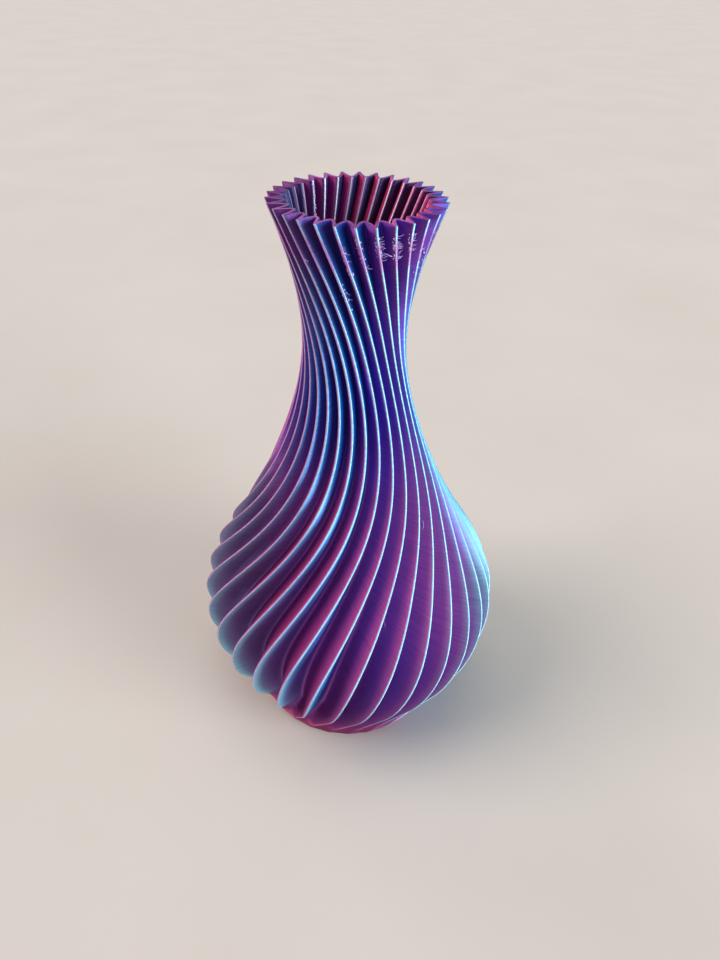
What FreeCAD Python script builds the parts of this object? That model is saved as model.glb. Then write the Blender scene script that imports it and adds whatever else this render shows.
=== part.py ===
import FreeCAD, Part
import math
import os

# A twisted, pleated bulb vase, printed in one go: solid bottom layers, then a single line of
# plastic that winds up the wall to the rim. Millimetres, +Z up. The origin is the middle of the
# foot, on the surface that the vase stands on. Azimuths run from the front (-Y) towards +X.

# Driving dimensions
HEIGHT = 200.0
FLOOR_THICKNESS = 1.2
LINE_WIDTH = 0.9

# Radius over the ridges at each height
RIDGE_RADIUS = (
    (0.0, 37.2),
    (10.0, 41.6),
    (20.0, 46.4),
    (30.0, 51.5),
    (41.0, 55.0),
    (60.0, 55.0),
    (84.0, 42.3),
    (110.0, 28.9),
    (136.0, 19.6),
    (156.0, 16.2),
    (176.0, 17.9),
    (HEIGHT, 25.2),
)

# Azimuth in degrees of the front ridge at each height: it swings one way and back again
RIDGE_AZIMUTH = (
    (0.0, -22.0),
    (10.0, -15.3),
    (20.0, -8.6),
    (30.0, -4.6),
    (41.0, -1.4),
    (60.0, 4.8),
    (84.0, 19.5),
    (108.0, 38.5),
    (132.0, 48.8),
    (148.0, 45.1),
    (164.0, 31.7),
    (180.0, 15.2),
    (HEIGHT, 0.0),
)

# Pleats
PLEATS = 30
PLEAT_DEPTH = 0.19      # full depth of a pleat, as a share of the radius over the ridges
FOOT_DEPTH = 0.008      # the same share where the wall meets the floor
FULL_DEPTH_HEIGHT = 22.0
VALLEY_POWER = 2.0      # 1 is a straight V between two ridges, and a larger power is a rounder U

# Each skin is ruled strips: splines through this many levels, at this many points of a section
LEVELS = 21
VALLEY_POINTS = 7
CREST_POINTS = 3

PITCH = 2 * math.pi / PLEATS
HALF_PITCH = PITCH / 2
HALF_LINE = LINE_WIDTH / 2
UP = FreeCAD.Vector(0, 0, 1)
ORIGIN = FreeCAD.Vector(0, 0, 0)


def curve_by_height(stations):
    """Smooth curve through the stations, whose parameter is the height."""
    points = [FreeCAD.Vector(height, value, 0) for height, value in stations]
    curve = Part.BSplineCurve()
    curve.interpolate(Points=points, Parameters=[height for height, _ in stations])
    return curve


RADIUS_CURVE = curve_by_height(RIDGE_RADIUS)
AZIMUTH_CURVE = curve_by_height(RIDGE_AZIMUTH)


def ridge_radius(height):
    """Radius over the ridges."""
    return RADIUS_CURVE.value(height).y


def valley_azimuth(height):
    """Azimuth, in radians, of the valley beside the front ridge."""
    return math.radians(AZIMUTH_CURVE.value(height).y) + HALF_PITCH


def pleat_depth(height):
    """Depth of a pleat: it grows smoothly from the foot to its full share of the radius."""
    grown = min(max(height - FLOOR_THICKNESS, 0.0) / (FULL_DEPTH_HEIGHT - FLOOR_THICKNESS), 1.0)
    ease = grown * grown * (3 - 2 * grown)
    return ridge_radius(height) * (FOOT_DEPTH + (PLEAT_DEPTH - FOOT_DEPTH) * ease)


def line_at(height, turn):
    """Radius of the printed line's middle and its slope, at an angle from the valley."""
    depth = pleat_depth(height)
    share = abs(turn) / HALF_PITCH
    bottom = ridge_radius(height) - HALF_LINE - depth
    radius = bottom + depth * share ** VALLEY_POWER
    slope = math.copysign(depth * VALLEY_POWER * share ** (VALLEY_POWER - 1) / HALF_PITCH, turn)
    return radius, slope


def beside_line(height, turn, offset):
    """Radius and angle of a point beside the line's middle, outwards for a positive offset."""
    radius, slope = line_at(height, turn)
    length = math.hypot(radius, slope)
    along = radius + offset * radius / length
    across = -offset * slope / length
    return math.hypot(along, across), turn + math.atan2(across, along)


def point(height, radius, turn):
    """Point at an angle from the valley beside the front ridge."""
    azimuth = valley_azimuth(height) + turn
    return FreeCAD.Vector(radius * math.sin(azimuth), -radius * math.cos(azimuth), height)


def outer_valley(height):
    """Outside of the wall, from ridge to ridge."""
    turns = [HALF_PITCH * (2 * i / (VALLEY_POINTS - 1) - 1) for i in range(VALLEY_POINTS)]
    return [point(height, *beside_line(height, turn, HALF_LINE)) for turn in turns]


def inner_valley(height):
    """Inside of the wall, between the planes through the middle of two ridges."""
    low, high = 0.0, HALF_PITCH
    while high - low > 1e-9:
        middle = (low + high) / 2
        if beside_line(height, middle, -HALF_LINE)[1] > HALF_PITCH:
            high = middle
        else:
            low = middle
    turns = [low * (2 * i / (VALLEY_POINTS - 1) - 1) for i in range(VALLEY_POINTS)]
    return [point(height, *beside_line(height, turn, -HALF_LINE)) for turn in turns]


def crest(height):
    """Rounded outside of a ridge, half the line's width in radius."""
    radius, slope = line_at(height, HALF_PITCH)
    swing = math.atan2(slope, radius)
    points = []
    for i in range(CREST_POINTS):
        angle = swing * (2 * i / (CREST_POINTS - 1) - 1)
        along = radius + HALF_LINE * math.cos(angle)
        across = HALF_LINE * math.sin(angle)
        turn = HALF_PITCH + math.atan2(across, along)
        points.append(point(height, math.hypot(along, across), turn))
    return points


def spline_through(points, parameters):
    """Cubic spline through the points, at the given parameters."""
    curve = Part.BSplineCurve()
    curve.interpolate(Points=list(points), Parameters=list(parameters))
    return curve


def skin(section):
    """Ruled strips between splines that run up the wall, repeated for every pleat."""
    step = (HEIGHT - FLOOR_THICKNESS) / (LEVELS - 1)
    heights = [FLOOR_THICKNESS + step * i for i in range(LEVELS)]
    columns = zip(*[section(height) for height in heights])
    lines = [spline_through(column, heights).toShape() for column in columns]
    strips = [Part.makeRuledSurface(left, right) for left, right in zip(lines, lines[1:])]
    faces = []
    for pleat in range(PLEATS):
        for strip in strips:
            face = strip.copy()
            face.rotate(ORIGIN, UP, math.degrees(PITCH) * pleat)
            faces.append(face)
    return faces


def edges_at(faces, height):
    """Edges of the faces that lie flat at a height."""
    edges = [edge for face in faces for edge in face.Edges]
    return [e for e in edges if max(abs(v.Z - height) for v in e.Vertexes) < 1e-6
            and e.BoundBox.ZLength < 1e-3]


def ring(outside, inside, height):
    """Flat face between the outside and the inside of the wall."""
    wires = [Part.Wire(Part.__sortEdges__(edges_at(faces, height))) for faces in (outside, inside)]
    return Part.makeFace(wires, "Part::FaceMakerBullseye").Faces[0]


def pleated_wall():
    """The single printed line, from the floor to the rim."""
    outside = skin(outer_valley) + skin(crest)
    inside = skin(inner_valley)
    ends = [ring(outside, inside, height) for height in (FLOOR_THICKNESS, HEIGHT)]
    shell = Part.makeShell(outside + inside + ends)
    shell.sewShape()
    wall = Part.Solid(shell.Shells[0])
    if wall.Volume < 0:
        wall.reverse()
    return wall


def base_floor():
    """The solid bottom layers, whose edge carries on the flare of the wall."""
    foot = ridge_radius(0.0)
    top = ridge_radius(FLOOR_THICKNESS)
    return Part.makeCone(foot, top, FLOOR_THICKNESS)


os.makedirs("parts", exist_ok=True)
for name, make in (("base_floor", base_floor), ("pleated_wall", pleated_wall)):
    solid = make()
    solid.exportStep(f"parts/{name}.step")
    box = solid.BoundBox
    print(name, solid.ShapeType, "valid", solid.isValid(), f"volume {solid.Volume / 1000:.2f} cm3",
          f"size {box.XLength:.2f} x {box.YLength:.2f} x {box.ZLength:.2f}")
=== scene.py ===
import math
import random

import bpy
import numpy as np
from mathutils import Matrix, Vector


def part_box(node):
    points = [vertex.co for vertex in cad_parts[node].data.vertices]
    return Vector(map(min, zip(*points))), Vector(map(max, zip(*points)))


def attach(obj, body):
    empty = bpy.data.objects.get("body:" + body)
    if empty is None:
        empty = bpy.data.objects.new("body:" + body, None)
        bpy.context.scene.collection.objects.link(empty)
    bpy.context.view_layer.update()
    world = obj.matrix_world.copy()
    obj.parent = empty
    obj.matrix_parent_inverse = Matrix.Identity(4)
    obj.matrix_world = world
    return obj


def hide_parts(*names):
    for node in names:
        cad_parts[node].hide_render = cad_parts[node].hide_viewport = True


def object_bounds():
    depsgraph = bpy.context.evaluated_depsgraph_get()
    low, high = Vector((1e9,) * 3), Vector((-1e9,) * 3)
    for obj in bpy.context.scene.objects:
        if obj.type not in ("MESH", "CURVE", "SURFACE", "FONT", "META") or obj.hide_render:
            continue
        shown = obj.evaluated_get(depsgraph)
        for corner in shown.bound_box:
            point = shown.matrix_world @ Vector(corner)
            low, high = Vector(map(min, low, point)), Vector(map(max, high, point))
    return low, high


# The looks of a twisted, pleated bulb vase printed in silk filament: the printed wall as one
# detailed closed mesh, the bottom layers, stray hairs and small lumps of plastic, and a studio.
# Shapes are worked out in millimetres and made in metres, in the frame of the CAD model. Azimuths
# run from the front (-Y) towards +X.

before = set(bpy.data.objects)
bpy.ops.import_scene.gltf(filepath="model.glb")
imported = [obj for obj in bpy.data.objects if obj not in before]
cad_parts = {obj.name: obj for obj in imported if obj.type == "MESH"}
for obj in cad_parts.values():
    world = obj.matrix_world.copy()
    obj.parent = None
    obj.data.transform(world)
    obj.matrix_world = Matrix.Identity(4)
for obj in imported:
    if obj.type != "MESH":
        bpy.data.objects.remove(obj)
CAD_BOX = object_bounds()
MM = 0.001

# ---------------------------------------------------------------- shape of the wall
HEIGHT = CAD_BOX[1].z / MM
FLOOR_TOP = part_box("base_floor")[1].z / MM
LINE_WIDTH = 0.9
# Radius over the ridges at each height
RIDGE_RADIUS = (
    (0.0, 37.2),
    (10.0, 41.6),
    (20.0, 46.4),
    (30.0, 51.5),
    (41.0, 55.0),
    (60.0, 55.0),
    (84.0, 42.3),
    (110.0, 28.9),
    (136.0, 19.6),
    (156.0, 16.2),
    (176.0, 17.9),
    (HEIGHT, 25.2),
)
# Azimuth in degrees of the front ridge at each height
RIDGE_AZIMUTH = (
    (0.0, -22.0),
    (10.0, -15.3),
    (20.0, -8.6),
    (30.0, -4.6),
    (41.0, -1.4),
    (60.0, 4.8),
    (84.0, 19.5),
    (108.0, 38.5),
    (132.0, 48.8),
    (148.0, 45.1),
    (164.0, 31.7),
    (180.0, 15.2),
    (HEIGHT, 0.0),
)
PLEATS = 30
PLEAT_DEPTH = 0.19      # full depth of a pleat, as a share of the radius over the ridges
FOOT_DEPTH = 0.008      # the same share where the wall meets the floor
FULL_DEPTH_HEIGHT = 22.0
VALLEY_POWER = 2.0      # 1 is a straight V between two ridges, and a larger power is a rounder U
HALF_PITCH = math.pi / PLEATS

# ---------------------------------------------------------------- detail of the meshes
VALLEY_STEPS = 14       # across a valley
CREST_STEPS = 4         # round a ridge
ROWS = 88               # up the wall, on each side of it
LIP = 0.16              # rounding of the rim's edges
LIP_ANGLES = (0.5, 1.05, math.pi / 2)
FOLD_GAP = 0.06         # from the middle of a ridge to the end of the inside of each of its sides
FOLD_HALVINGS = 40      # of the search for that place
DISC_STEPS = 120        # round the bottom layers
DISC_GAP = 0.35         # from the bottom layers to the inside of the ridges at the foot
DISC_BEVEL = 0.3

# How much of a ridge's colour, with its painted highlight, runs over onto the sides beside it, low on
# the vase
RIDGE_HIGHLIGHT_SPILL = 0.4
SPILL_TOP = 100.0       # the height where it has faded out
SPILL_FADE = 35.0       # the height over which it fades


def spline(stations):
    """Cubic through (height, value) stations, with the end slopes of the first and last four."""
    x, y = (np.array(column, dtype=float) for column in zip(*stations))
    count = len(x)
    gap = np.diff(x)
    rise = np.diff(y) / gap
    matrix = np.eye(count)
    right = np.zeros(count)
    for end, four in ((0, slice(0, 4)), (-1, slice(-4, None))):
        cubic = np.polyfit(x[four] - x[end], y[four], 3)
        right[end] = cubic[2]
    for i in range(1, count - 1):
        matrix[i, i - 1] = gap[i]
        matrix[i, i] = 2 * (gap[i - 1] + gap[i])
        matrix[i, i + 1] = gap[i - 1]
        right[i] = 3 * (gap[i] * rise[i - 1] + gap[i - 1] * rise[i])
    slope = np.linalg.solve(matrix, right)

    def value(height):
        i = int(np.clip(np.searchsorted(x, height) - 1, 0, count - 2))
        t = (height - x[i]) / gap[i]
        return (
            (1 + 2 * t) * (1 - t) ** 2 * y[i]
            + t * (1 - t) ** 2 * gap[i] * slope[i]
            + t * t * (3 - 2 * t) * y[i + 1]
            + t * t * (t - 1) * gap[i] * slope[i + 1]
        )

    return value


ridge_radius = spline(RIDGE_RADIUS)
ridge_azimuth = spline(RIDGE_AZIMUTH)


def pleat_depth(height):
    """Depth of a pleat, which grows smoothly from the foot to its full share of the radius."""
    grown = np.clip((height - FLOOR_TOP) / (FULL_DEPTH_HEIGHT - FLOOR_TOP), 0.0, 1.0)
    ease = grown * grown * (3 - 2 * grown)
    return ridge_radius(height) * (FOOT_DEPTH + (PLEAT_DEPTH - FOOT_DEPTH) * ease)


def beside_line(height, turn, offset):
    """Radius and angle of points beside the middle of the printed line, at angles from a valley."""
    depth = pleat_depth(height)
    share = np.abs(turn) / HALF_PITCH
    radius = ridge_radius(height) - LINE_WIDTH / 2 - depth + depth * share ** VALLEY_POWER
    slope = np.sign(turn) * depth * VALLEY_POWER * share ** (VALLEY_POWER - 1) / HALF_PITCH
    length = np.hypot(radius, slope)
    along = radius + offset * radius / length
    across = -offset * slope / length
    return np.hypot(along, across), turn + np.arctan2(across, along)


def fold_end(height, offset):
    """The angle at which the inside of the wall comes within a gap of the middle of a ridge."""
    low, high = 0.0, HALF_PITCH
    for _ in range(FOLD_HALVINGS):
        middle = (low + high) / 2
        radius, turn = beside_line(height, np.array([middle]), offset)
        if (HALF_PITCH - turn[0]) * radius[0] < FOLD_GAP:
            high = middle
        else:
            low = middle
    return low


def loop(height, offset):
    """Closed loop of points round the vase, beside the middle of the printed line."""
    shares = np.linspace(-1, 1, VALLEY_STEPS + 1)
    if offset > 0:
        radius, turn = beside_line(height, shares * HALF_PITCH, offset)
        depth = pleat_depth(height)
        middle = ridge_radius(height) - LINE_WIDTH / 2
        swing = math.atan2(depth * VALLEY_POWER / HALF_PITCH, middle)
        angles = np.linspace(-swing, swing, CREST_STEPS + 1)[1:-1]
        along = middle + offset * np.cos(angles)
        across = offset * np.sin(angles)
        crest_radius = np.hypot(along, across)
        crest_turn = HALF_PITCH + np.arctan2(across, along)
    else:
        end = fold_end(height, offset)
        radius, turn = beside_line(height, shares * end, offset)
        crest_turn = np.linspace(turn[-1], 2 * HALF_PITCH + turn[0], CREST_STEPS + 1)[1:-1]
        crest_radius = np.full(CREST_STEPS - 1, radius[-1])
    radius = np.concatenate([radius, crest_radius])
    turn = np.concatenate([turn, crest_turn])
    azimuth = math.radians(ridge_azimuth(height)) + HALF_PITCH + turn
    azimuth = (azimuth[None, :] + 2 * HALF_PITCH * np.arange(PLEATS)[:, None]).ravel()
    radius = np.tile(radius, PLEATS)
    level = np.full_like(radius, height)
    return np.column_stack([radius * np.sin(azimuth), -radius * np.cos(azimuth), level]) * MM


def mesh_object(name, vertices, faces, smooth=True):
    """New object from vertices and faces."""
    mesh = bpy.data.meshes.new(name)
    mesh.from_pydata([tuple(v) for v in vertices], [], [tuple(int(i) for i in f) for f in faces])
    mesh.validate()
    mesh.polygons.foreach_set("use_smooth", [smooth] * len(mesh.polygons))
    mesh.update()
    made = bpy.data.objects.new(name, mesh)
    bpy.context.scene.collection.objects.link(made)
    return made


def wall_rows():
    """Height and offset of each loop: up the outside, over the rounded rim, down the inside."""
    half = LINE_WIDTH / 2
    corner = [(LIP * (1 - math.sin(a)), LIP * (1 - math.cos(a))) for a in LIP_ANGLES]
    heights = np.linspace(0.0, HEIGHT - LIP, ROWS)
    rows = [(height, half) for height in heights]
    rows += [(HEIGHT - down, half - inward) for down, inward in corner]
    rows += [(HEIGHT - down, inward - half) for down, inward in reversed(corner)]
    rows += [(height, -half) for height in reversed(heights)]
    return rows


def wall():
    """The printed wall. Its material reads three values at each vertex: share goes from 0 in the
    middle of a valley to 1 at a ridge, ridge is 1 on a ridge and spills over a little beside it,
    and inner is 1 on the inside."""
    rows = wall_rows()
    loops = [loop(*row) for row in rows]
    count, around = len(loops), len(loops[0])
    here = np.arange(count)[:, None] * around
    above = (np.arange(count)[:, None] + 1) % count * around
    left = np.arange(around)[None, :]
    right = (left + 1) % around
    corners = [here + left, here + right, above + right, above + left]
    faces = np.stack(corners, axis=-1).reshape(-1, 4)
    made = mesh_object("silk_wall", np.concatenate(loops), faces)

    # share also sets where the painted shade of the valleys and the painted highlights fall
    valley = np.abs(np.linspace(-1, 1, VALLEY_STEPS + 1))
    crest = np.ones(CREST_STEPS - 1)
    share = np.tile(np.concatenate([valley, crest]), PLEATS * count)
    on_ridge = np.tile(np.concatenate([0 * valley, crest]), PLEATS)
    beside_ridge = np.tile(np.concatenate([valley == 1, 0 * crest]), PLEATS)
    # The ridge value spills beside the ridges low on the vase, which widens their painted highlight
    low = np.clip([(SPILL_TOP - height) / SPILL_FADE for height, _ in rows], 0, 1)
    ridge = (on_ridge + np.outer(RIDGE_HIGHLIGHT_SPILL * low, beside_ridge)).ravel()
    inner = np.repeat([float(offset < 0) for _, offset in rows], around)
    for name, values in (("share", share), ("ridge", ridge), ("inner", inner)):
        made.data.attributes.new(name, "FLOAT", "POINT").data.foreach_set("value", values)
    return made


def base():
    """The bottom layers: a disc inside the wall's foot, with a small bevel round its underside."""
    radius = ridge_radius(0.0) - LINE_WIDTH - DISC_GAP
    rims = ((radius - DISC_BEVEL, 0.0), (radius, DISC_BEVEL), (radius, FLOOR_TOP))
    vertices = [(0.0, 0.0, 0.0)]
    for r, z in rims:
        for k in range(DISC_STEPS):
            a = 2 * math.pi * k / DISC_STEPS
            vertices.append((r * math.cos(a) * MM, r * math.sin(a) * MM, z * MM))
    vertices.append((0.0, 0.0, FLOOR_TOP * MM))
    top = len(vertices) - 1
    faces = []
    for k in range(DISC_STEPS):
        n = (k + 1) % DISC_STEPS
        faces.append((0, 1 + n, 1 + k))
        for a in (1, 1 + DISC_STEPS):
            faces.append((a + k, a + n, a + DISC_STEPS + n, a + DISC_STEPS + k))
        faces.append((top - DISC_STEPS + k, top - DISC_STEPS + n, top))
    return mesh_object("bottom_layers", vertices, faces, smooth=False)


def on_wall(height, ridge, out=0.0, inside=False):
    """Point beside the wall. ridge counts ridges from the front one, and its halves are valleys."""
    turn = (ridge - math.floor(ridge) - 0.5) * 2 * HALF_PITCH
    offset = -LINE_WIDTH / 2 - out if inside else LINE_WIDTH / 2 + out
    radius, turn = beside_line(height, np.array([turn]), offset)
    start = math.radians(ridge_azimuth(height)) + 2 * HALF_PITCH * (math.floor(ridge) + 0.5)
    azimuth = start + turn[0]
    return Vector((radius[0] * math.sin(azimuth), -radius[0] * math.cos(azimuth), height))


def tube(points, radius):
    """Vertices and faces of a thin tapered thread through the points."""
    sides = 6
    vertices, faces = [], []
    for i, place in enumerate(points):
        ahead = points[min(i + 1, len(points) - 1)] - points[max(i - 1, 0)]
        turned = ahead.to_track_quat("Z", "Y")
        thick = radius * (1 - TAPER * i / (len(points) - 1))
        for k in range(sides):
            a = 2 * math.pi * k / sides
            vertices.append(place + turned @ Vector((thick * math.cos(a), thick * math.sin(a), 0)))
    for i in range(len(points) - 1):
        for k in range(sides):
            n = (k + 1) % sides
            faces.append((i * sides + k, i * sides + n, (i + 1) * sides + n, (i + 1) * sides + k))
    faces.append(tuple(reversed(range(sides))))
    faces.append(tuple(range(len(vertices) - sides, len(vertices))))
    return vertices, faces


def joined(name, parts):
    """One object from several sets of vertices and faces."""
    vertices, faces = [], []
    for some, some_faces in parts:
        first = len(vertices)
        vertices += [v * MM for v in some]
        faces += [tuple(first + i for i in face) for face in some_faces]
    return mesh_object(name, vertices, faces)


def blob(place, radius):
    """Vertices and faces of a small round lump."""
    rings, around = 4, 7
    vertices = [place + Vector((0, 0, -radius))]
    for i in range(1, rings):
        lift = -math.pi / 2 + math.pi * i / rings
        for k in range(around):
            a = 2 * math.pi * k / around
            vertices.append(place + radius * Vector(
                (math.cos(lift) * math.cos(a), math.cos(lift) * math.sin(a), math.sin(lift))
            ))
    vertices.append(place + Vector((0, 0, radius)))
    last = len(vertices) - 1
    faces = []
    for k in range(around):
        n = (k + 1) % around
        faces.append((0, 1 + n, 1 + k))
        for i in range(rings - 2):
            a = 1 + i * around
            faces.append((a + k, a + n, a + around + n, a + around + k))
        faces.append((last - around + k, last - around + n, last))
    return vertices, faces


UP = Vector((0, 0, 1))
TAPER = 0.6             # share of its radius that a thread loses towards its end

HAIR_STEPS = 5
HAIR_LENGTH = (0.4, 1.8)
HAIR_RADIUS = (0.04, 0.07)
HAIR_SLANT = 0.4        # radians either way from level
HAIR_BEND = 0.4         # radians either way, from root to tip
HAIR_STAND = (0.5, 1.4) # how far it stands off the wall, and how late it turns back
# Fuzzy stretches of ridge: ridge number, lowest and highest height, number of hairs
FUZZ = (
    (2, 190, 197, 44),
    (1, 190, 197, 20),
    (3, 191, 197, 18),
    (0, 188, 196, 9),
    (4, 184, 193, 9),
    (-1, 184, 193, 5),
    (-2, 172, 184, 5),
    (5, 186, 195, 7),
    (9, 185, 194, 8),
    (13, 186, 195, 8),
    (18, 180, 192, 8),
)
THREAD_STEPS = 8
# Longer threads: the height and ridge number of both ends, how far the middle stands off, radius
THREADS = (
    ((190.8, 1.95), (191.8, 1.20), 0.9, 0.20),
    ((190.8, 1.20), (190.4, 1.86), 0.5, 0.07),
    ((180.6, -1.96), (178.6, -1.62), 0.9, 0.09),
    ((196.0, 2.30), (193.5, 2.02), 0.9, 0.06),
    ((192.6, 2.02), (193.4, 2.38), 0.9, 0.07),
    ((72.6, 0.58), (70.2, 0.72), 0.8, 0.09),
    ((99.8, 1.88), (96.4, 1.84), 0.6, 0.09),
    ((182.0, 2.62), (176.5, 2.74), 0.1, 0.12),
    ((168.0, 0.55), (163.5, 0.62), 0.1, 0.08),
)


def stray_hairs():
    """Fine strings and whiskers of plastic that the nozzle pulled off the ridges."""
    dice = random.Random(5)
    parts = []
    for ridge, low, high, number in FUZZ:
        for _ in range(number):
            root = on_wall(dice.uniform(low, high), ridge)
            out = Vector((root.x, root.y, 0)).normalized()
            across = out.cross(UP)
            heading = dice.choice((0, math.pi)) + dice.uniform(-HAIR_SLANT, HAIR_SLANT)
            length = dice.uniform(*HAIR_LENGTH)
            bend = dice.uniform(-HAIR_BEND, HAIR_BEND)
            points = []
            for step in range(HAIR_STEPS + 1):
                t = step / HAIR_STEPS
                turned = heading + bend * t
                along = math.cos(turned) * across + math.sin(turned) * UP
                stand = HAIR_STAND[0] * t * (HAIR_STAND[1] - t)
                points.append(root + length * t * along + stand * out)
            parts.append(tube(points, dice.uniform(*HAIR_RADIUS)))
    for first, last, stand, radius in THREADS:
        start, end = on_wall(*first), on_wall(*last)
        out = Vector((start.x, start.y, 0)).normalized()
        points = []
        for step in range(THREAD_STEPS + 1):
            t = step / THREAD_STEPS
            points.append(start.lerp(end, t) + stand * 4 * t * (1 - t) * out)
        parts.append(tube(points, radius))
    return joined("stray_hairs", parts)


LUMP_RADIUS = (0.14, 0.30)
LUMP_SPREAD = 0.035     # in ridge numbers, either way from the stretch
LUMP_SINK = 0.02        # how far the middle of a lump lies inside the wall
# Lumpy stretches: ridge number, lowest and highest height, number of lumps, on the inside or not
LUMPS = (
    (18.50, 184, 199, 40, True),
    (18.42, 184, 194, 10, True),
    (2.00, 190, 197, 30, False),
    (1.00, 190, 197, 26, False),
    (3.00, 191, 197, 18, False),
    (0.00, 189, 197, 18, False),
    (-1.00, 186, 194, 16, False),
    (-2.00, 172, 184, 7, False),
    (4.00, 176, 192, 8, False),
    (5.00, 178, 195, 8, False),
    (26.00, 184, 194, 6, False),
)


def small_lumps():
    """Specks where a string of plastic was laid over again."""
    dice = random.Random(11)
    parts = []
    for ridge, low, high, number, inside in LUMPS:
        for _ in range(number):
            height = dice.uniform(low, high)
            beside = ridge + dice.uniform(-LUMP_SPREAD, LUMP_SPREAD)
            place = on_wall(height, beside, -LUMP_SINK, inside)
            parts.append(blob(place, dice.uniform(*LUMP_RADIUS)))
    return joined("small_lumps", parts)


# ---------------------------------------------------------------- materials
def new_material(name):
    """New material with its node tree and its shader."""
    material = bpy.data.materials.new(name)
    material.use_nodes = True
    tree = material.node_tree
    return material, tree, tree.nodes["Principled BSDF"]


# Colours of the co-extruded filament by the way a face points, azimuth in degrees from the front:
# in a valley, with painted shade; on its sides near the ridge; on the ridge itself, with a painted
# highlight; and inside the vase, with painted shade
# The filament's colour with painted shade, darker in the bottom of each valley
SHADED_VALLEY_COLOURS = (
    (-180, (0.1, 0.02, 0.1)),
    (-120, (0.2, 0.02, 0.12)),
    (-90, (0.28, 0.03, 0.2)),
    (-60, (0.38, 0.065, 0.38)),
    (-30, (0.43, 0.085, 0.46)),
    (0, (0.37, 0.11, 0.53)),
    (30, (0.24, 0.11, 0.52)),
    (60, (0.04, 0.11, 0.42)),
    (90, (0.012, 0.08, 0.36)),
    (130, (0.03, 0.03, 0.22)),
    (180, (0.1, 0.02, 0.1)),
)
SIDE_COLOURS = (
    (-180, (0.26, 0.08, 0.3)),
    (-120, (0.6, 0.05, 0.2)),
    (-90, (0.62, 0.06, 0.24)),
    (-60, (0.58, 0.07, 0.3)),
    (-30, (0.42, 0.07, 0.36)),
    (0, (0.2, 0.1, 0.42)),
    (30, (0.08, 0.36, 0.68)),
    (60, (0.05, 0.38, 0.7)),
    (90, (0.03, 0.3, 0.62)),
    (130, (0.08, 0.18, 0.46)),
    (180, (0.26, 0.08, 0.3)),
)
# The filament's colour on the ridges, brightened with a painted highlight
RIDGE_COLOURS_AND_HIGHLIGHT = (
    (-180, (0.36, 0.14, 0.36)),
    (-120, (0.44, 0.09, 0.26)),
    (-75, (0.42, 0.08, 0.26)),
    (-45, (0.44, 0.14, 0.32)),
    (-25, (0.38, 0.34, 0.54)),
    (-5, (0.34, 0.58, 0.74)),
    (20, (0.4, 0.64, 0.78)),
    (60, (0.28, 0.64, 0.76)),
    (100, (0.12, 0.46, 0.66)),
    (140, (0.2, 0.34, 0.58)),
    (180, (0.36, 0.14, 0.36)),
)
# The filament's colour inside the vase with painted shade, darkest on faces turned to the front and
# right
SHADED_INSIDE_COLOURS = (
    (-180, (0.25, 0.02, 0.1)),
    (-130, (0.85, 0.04, 0.14)),
    (-80, (0.88, 0.05, 0.18)),
    (-40, (0.3, 0.02, 0.16)),
    (0, (0.03, 0.012, 0.08)),
    (40, (0.015, 0.02, 0.1)),
    (90, (0.03, 0.06, 0.24)),
    (140, (0.05, 0.015, 0.1)),
    (180, (0.25, 0.02, 0.1)),
)
# Painted highlight along each fold on the inside
INSIDE_FOLD_HIGHLIGHT = (0.95, 0.80, 1.0)
LAYER_TOP = (0.20, 0.06, 0.20)

# Tints by place on the vase, several of them painted light and shade. Each span is where a tint
# is absent and where it is full, in millimetres along an axis, and a tint with two spans is full only
# where both are.
NECK_TINT = (0.32, 0.55, 1.0)
NECK_FROM_BELOW = (105, 145)
NECK_FROM_ABOVE = (195, 155)
RIM_SHADE = (0.44, 0.42, 0.76)
RIM_SHADE_Z = (160, 185)
# Painted shade, dark crimson, at the left of the rim
RIM_LEFT_SHADE = (0.13, 0.015, 0.11)
RIM_LEFT_SHADE_X = (-4, -20)
RIM_LEFT_SHADE_Z = (160, 190)
RIM_LEFT_SHADE_MOST = 0.7
# Painted highlight on the sides beside the ridges on the left flank, cyan low down and grey-blue
# higher up
LEFT_RIDGE_HIGHLIGHT_LOW = (0.26, 0.74, 0.98)
LEFT_RIDGE_HIGHLIGHT_HIGH = (0.17, 0.27, 0.50)
LEFT_RIDGE_HIGHLIGHT_Z = (30, 70)
# Painted sheen in the valleys on the left flank
LEFT_VALLEY_SHEEN = (0.14, 0.085, 0.28)
LEFT_PAINTED_LIGHT_X = (-8, -36)
LEFT_PAINTED_LIGHT_Z = (130, 90)
# Painted sheen on the right flank
RIGHT_PAINTED_SHEEN = (0.13, 0.40, 0.48)
RIGHT_SHEEN_X = (38, 56)
RIGHT_SHEEN_Z = (45, 75)
ROUGH_RIDGE = (0.50, 0.22, 0.52)
ROUGH_FROM_BELOW = (185, 189)
ROUGH_FROM_ABOVE = (197, 194)
ROUGH_MOST = 0.9
FOOT = (0.32, 0.03, 0.13)
FOOT_X = (36, 10)
FOOT_Z = (15, 3)

# The larger the power, the closer a colour keeps to the ridges, or to the folds on the inside: the
# first sets how far the painted shade of the valleys reaches up the sides, the others how narrow the
# painted highlights are
RIDGE_SIDE_POWER = 6.0
LEFT_RIDGE_HIGHLIGHT_POWER = 9.0
INSIDE_FOLD_HIGHLIGHT_POWER = 22.0

LAYER_HEIGHT = 0.2
BOTTOM_LINE_WIDTH = 0.45
BEAD_HEIGHT = 0.02
LAYER_STREAKS = (70.0, 70.0, 1800.0)    # noise per metre, finest up the wall


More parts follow.
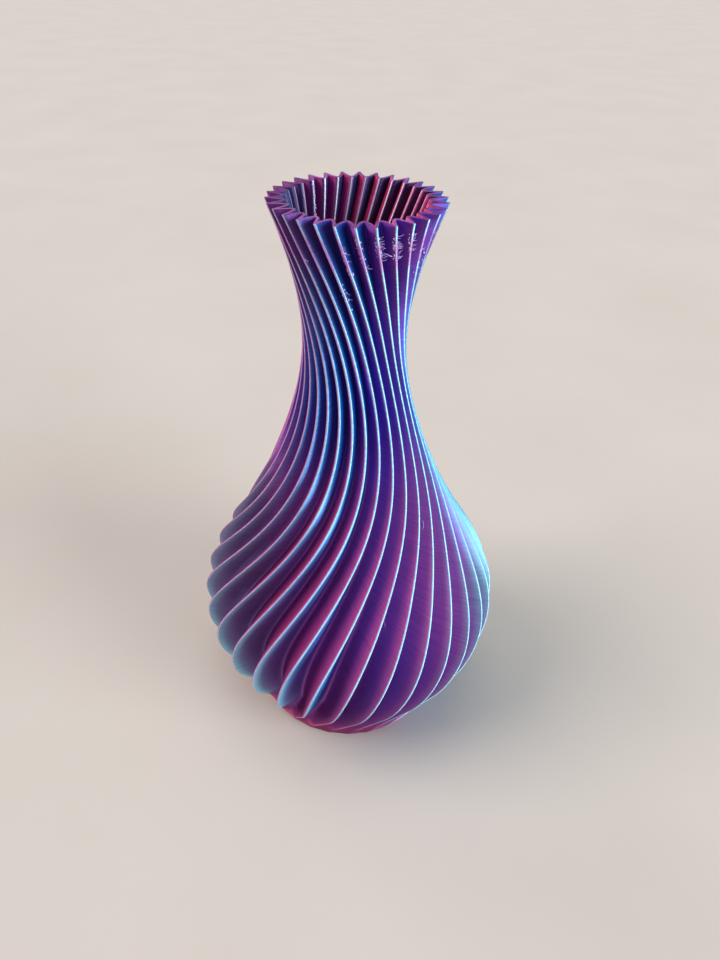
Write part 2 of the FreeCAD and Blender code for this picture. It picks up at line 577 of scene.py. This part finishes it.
class Nodes:
    """Short ways to add shader nodes to one material."""

    def __init__(self, tree):
        self.tree = tree

    def add(self, kind, *inputs, **settings):
        """New node; an input is a value, a socket to link, or None to leave it alone."""
        node = self.tree.nodes.new("ShaderNode" + kind)
        for name, value in settings.items():
            setattr(node, name, value)
        for socket, value in zip(node.inputs, inputs):
            if isinstance(value, bpy.types.NodeSocket):
                self.tree.links.new(value, socket)
            elif value is not None:
                socket.default_value = value
        return node

    def math(self, operation, *inputs):
        return self.add("Math", *inputs, operation=operation).outputs[0]

    def attribute(self, name):
        return self.add("Attribute", attribute_name=name).outputs["Fac"]

    def both(self, first, second):
        """The product of two shares."""
        return self.math("MULTIPLY", first, second)

    def between(self, value, low, high, first, last):
        """From the first result at the low value to the last at the high one, in a straight line."""
        return self.add("MapRange", value, low, high, first, last).outputs["Result"]

    def ease(self, value, low, high):
        """From 0 at one value to 1 at the other, smoothly."""
        eased = self.add("MapRange", value, low, high, interpolation_type="SMOOTHSTEP")
        return eased.outputs["Result"]

    def span(self, place, ends):
        """The same between two places, in millimetres."""
        return self.ease(place, ends[0] * MM, ends[1] * MM)

    def mix(self, factor, first, second, blend="MIX"):
        node = self.tree.nodes.new("ShaderNodeMix")
        node.data_type = "RGBA"
        node.blend_type = blend
        for socket, value in ((0, factor), (6, first), (7, second)):
            if isinstance(value, bpy.types.NodeSocket):
                self.tree.links.new(value, node.inputs[socket])
            elif isinstance(value, tuple):
                node.inputs[socket].default_value = (*value, 1.0)
            else:
                node.inputs[socket].default_value = value
        return node.outputs[2]

    def ramp(self, factor, stops):
        """Colour by azimuth: the factor goes from 0 at -180 degrees to 1 at 180."""
        node = self.add("ValToRGB", factor)
        elements = node.color_ramp.elements
        elements.remove(elements[1])
        for i, (angle, colour) in enumerate(stops):
            element = elements[0] if i == 0 else elements.new((angle + 180) / 360)
            element.position = (angle + 180) / 360
            element.color = (*colour, 1.0)
        return node.outputs["Color"]


def outside_colour(make, around, front, share, place):
    """Colour of the outside of the wall: by the way it faces, with painted shade in the valleys and a
    painted highlight on the ridges, then tinted by place, partly with painted light and shade.
    """
    x, _, z = place
    by_facing = make.ramp(around, SHADED_VALLEY_COLOURS), make.ramp(around, SIDE_COLOURS)
    # Painted shade: the valley colour fills the bottom of each pleat and the side colour keeps near
    # the ridges
    sides = make.mix(make.math("POWER", share, RIDGE_SIDE_POWER), *by_facing)

    # Painted light on the left flank: a painted highlight beside the ridges and a painted sheen in
    # the valleys
    left = make.both(make.span(x, LEFT_PAINTED_LIGHT_X), make.ease(front, 0.1, 0.8))
    left = make.both(left, make.span(z, LEFT_PAINTED_LIGHT_Z))
    near_ridge = make.math("POWER", share, LEFT_RIDGE_HIGHLIGHT_POWER)
    left_highlight_by_height = make.mix(make.span(z, LEFT_RIDGE_HIGHLIGHT_Z), LEFT_RIDGE_HIGHLIGHT_LOW, LEFT_RIDGE_HIGHLIGHT_HIGH)
    sides = make.mix(left, sides, make.mix(near_ridge, LEFT_VALLEY_SHEEN, left_highlight_by_height))

    # Painted sheen on the right flank
    right = make.both(make.span(x, RIGHT_SHEEN_X), make.span(z, RIGHT_SHEEN_Z))
    sides = make.mix(right, sides, RIGHT_PAINTED_SHEEN)
    neck = make.both(make.span(z, NECK_FROM_BELOW), make.span(z, NECK_FROM_ABOVE))
    sides = make.mix(neck, sides, NECK_TINT, "MULTIPLY")
    sides = make.mix(make.span(z, RIM_SHADE_Z), sides, RIM_SHADE, "MULTIPLY")
    # Painted shade at the left of the rim
    rim_left_shade = make.both(make.span(z, RIM_LEFT_SHADE_Z), make.span(x, RIM_LEFT_SHADE_X))
    sides = make.mix(make.both(rim_left_shade, RIM_LEFT_SHADE_MOST), sides, RIM_LEFT_SHADE)

    rough = make.both(make.span(z, ROUGH_FROM_BELOW), make.span(z, ROUGH_FROM_ABOVE))
    # The ridge colour carries a painted highlight
    ridges = make.ramp(around, RIDGE_COLOURS_AND_HIGHLIGHT)
    ridges = make.mix(make.both(rough, ROUGH_MOST), ridges, ROUGH_RIDGE)
    outside = make.mix(make.attribute("ridge"), sides, ridges)
    foot = make.both(make.span(z, FOOT_Z), make.span(x, FOOT_X))
    return make.mix(foot, outside, FOOT)


def inside_colour(make, around, share):
    """Colour of the inside of the wall, with painted shade and a painted highlight along each fold.
    """
    # Painted highlight along each fold
    fold_highlight = make.math("POWER", make.math("SUBTRACT", 1.0, share), INSIDE_FOLD_HIGHLIGHT_POWER)
    return make.mix(fold_highlight, make.ramp(around, SHADED_INSIDE_COLOURS), INSIDE_FOLD_HIGHLIGHT)


def silk_filament():
    """Silk filament whose colour turns with the way each face points, with layer lines."""
    material, tree, shader = new_material("silk_filament")
    make, link = Nodes(tree), tree.links.new
    where = make.add("TexCoord")
    facing = make.add("SeparateXYZ", where.outputs["Normal"])
    front = make.math("MULTIPLY", facing.outputs["Y"], -1.0)
    azimuth = make.math("ARCTAN2", facing.outputs["X"], front)
    around = make.math("ADD", make.math("DIVIDE", azimuth, 2 * math.pi), 0.5)
    place = make.add("SeparateXYZ", where.outputs["Object"]).outputs
    x, y, z = place
    share = make.attribute("share")
    outside = outside_colour(make, around, front, share, place)
    colour = make.mix(make.attribute("inner"), outside, inside_colour(make, around, share))
    level = make.ease(make.math("ABSOLUTE", facing.outputs["Z"]), 0.6, 0.95)
    colour = make.mix(level, colour, LAYER_TOP)

    # each layer came out a little lighter or darker, and duller or glossier, than the last
    stretched = make.add("Mapping", where.outputs["Object"], None, None, LAYER_STREAKS)
    streaks = make.add("TexNoise", stretched.outputs[0], None, 1.0, 2.0).outputs["Fac"]
    value = make.between(streaks, 0.3, 0.7, 0.86, 1.14)
    shade = make.add("HueSaturation", 0.5, 1.0, value, 1.0, colour)
    link(shade.outputs[0], shader.inputs["Base Color"])
    link(make.between(streaks, 0.3, 0.7, 0.46, 0.54), shader.inputs["Roughness"])

    # the layers run round the vase, and stretch its highlights up the wall
    shader.inputs["Metallic"].default_value = 0.6
    shader.inputs["Anisotropic"].default_value = 1.0
    shader.inputs["Anisotropic Rotation"].default_value = 0.25
    tangent = make.add("Tangent", direction_type="RADIAL", axis="Z")
    link(tangent.outputs[0], shader.inputs["Tangent"])

    # a rounded bead for each layer up the wall, and for each line slantwise across the underside
    slantwise = math.sqrt(0.5) * 2 * math.pi / (BOTTOM_LINE_WIDTH * MM)
    lines = make.math("MULTIPLY", make.math("ADD", x, y), slantwise)
    layers = make.math("MULTIPLY", z, 2 * math.pi / (LAYER_HEIGHT * MM))
    under = make.math("LESS_THAN", facing.outputs["Z"], -0.9)
    phase = make.add("Mix", under, layers, lines, data_type="FLOAT")
    wave = make.math("SINE", phase.outputs[0])
    bump = tree.nodes.new("ShaderNodeBump")
    bump.inputs["Strength"].default_value = 0.25
    bump.inputs["Distance"].default_value = BEAD_HEIGHT * MM
    link(wave, bump.inputs["Height"])
    link(bump.outputs["Normal"], shader.inputs["Normal"])
    return material


def string_plastic():
    """Thin strings of the same plastic, with random pale patches of painted highlight."""
    material, tree, shader = new_material("string_plastic")
    make = Nodes(tree)
    where = make.add("TexCoord")
    patches = make.add("TexNoise", where.outputs["Object"], None, 400.0, 2.0)
    # Painted highlight in random pale patches
    highlight_patches = make.ease(patches.outputs["Fac"], 0.4, 0.6)
    colour = make.mix(highlight_patches, (0.52, 0.28, 0.58), (0.54, 0.44, 0.72))
    tree.links.new(colour, shader.inputs["Base Color"])
    shader.inputs["Metallic"].default_value = 0.2
    shader.inputs["Roughness"].default_value = 0.35
    return material


def pale_floor():
    """Plain pale matt floor with a trace of unevenness."""
    material, tree, shader = new_material("pale_floor")
    make = Nodes(tree)
    where = make.add("TexCoord")
    patches = make.add("TexNoise", where.outputs["Object"], None, 9.0, 4.0)
    colour = make.mix(patches.outputs["Fac"], (0.40, 0.37, 0.33), (0.44, 0.41, 0.375))
    tree.links.new(colour, shader.inputs["Base Color"])
    shader.inputs["Roughness"].default_value = 0.9
    shader.inputs["Specular IOR Level"].default_value = 0.0
    return material


# ---------------------------------------------------------------- studio
FLOOR_REACH = 9.0
SURROUND = (0.76, 0.86, 1.0, 1.0)
SURROUND_STRENGTH = 0.34
# Name, direction towards the light, its width in degrees, strength and colour
LIGHTS = (
    ("window_right", (0.76, -0.44, 0.17), 42, 6.2, (0.88, 0.95, 1.0)),
    ("window_left", (-0.62, -0.12, 0.62), 38, 2.8, (1.0, 0.88, 0.84)),
    ("back_left", (-1.0, 0.9, 0.55), 35, 0.9, (1.0, 0.86, 0.84)),
    ("overhead", (0.0, 0.1, 0.9), 38, 1.1, (1.0, 1.0, 1.0)),
)
CAMERA_PLACE = (0.0031, -0.1963, 0.2575)
CAMERA_PITCH = math.radians(38.33)
CAMERA_ROLL = math.radians(1.81)
CAMERA_LENS = 26.25


def sun_light(name, towards, width, strength, colour):
    """Soft light from far away in one direction."""
    data = bpy.data.lights.new(name, "SUN")
    data.angle = math.radians(width)
    data.energy = strength
    data.color = colour
    made = bpy.data.objects.new(name, data)
    made.rotation_euler = Vector(towards).to_track_quat("Z", "Y").to_euler()
    bpy.context.scene.collection.objects.link(made)


def camera():
    """Close, above and in front of the vase, looking down at it with a slight roll."""
    right = Vector((1, 0, 0))
    up = Vector((0, math.sin(CAMERA_PITCH), math.cos(CAMERA_PITCH)))
    back = Vector((0, -math.cos(CAMERA_PITCH), math.sin(CAMERA_PITCH)))
    turned_right = math.cos(CAMERA_ROLL) * right + math.sin(CAMERA_ROLL) * up
    turned_up = math.cos(CAMERA_ROLL) * up - math.sin(CAMERA_ROLL) * right
    turned = Matrix((turned_right, turned_up, back)).transposed().to_4x4()
    data = bpy.data.cameras.new("camera")
    data.lens = CAMERA_LENS
    data.sensor_width = 36.0
    data.clip_start = 0.01
    made = bpy.data.objects.new("camera", data)
    made.matrix_world = Matrix.Translation(CAMERA_PLACE) @ turned
    bpy.context.scene.collection.objects.link(made)
    bpy.context.scene.camera = made


def studio():
    """Pale floor, soft lights and a light grey-blue surround."""
    corners = [(x * FLOOR_REACH, y * FLOOR_REACH, 0) for x, y in ((-1, -1), (1, -1), (1, 1), (-1, 1))]
    floor = mesh_object("floor", corners, [(0, 1, 2, 3)], smooth=False)
    floor.data.materials.append(pale_floor())
    for light in LIGHTS:
        sun_light(*light)
    world = bpy.data.worlds.new("surround")
    world.use_nodes = True
    background = world.node_tree.nodes["Background"]
    background.inputs["Color"].default_value = SURROUND
    background.inputs["Strength"].default_value = SURROUND_STRENGTH
    bpy.context.scene.world = world
    bpy.context.scene.view_settings.view_transform = "Standard"


camera()
studio()
silk = silk_filament()
strings = string_plastic()
pieces = (
    (wall(), silk, "pleated_wall"),
    (base(), silk, "base_floor"),
    (stray_hairs(), strings, None),
    (small_lumps(), strings, None),
)
for piece, material, node in pieces:
    piece.data.materials.append(material)
    if node:
        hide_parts(node)
    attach(piece, "root")
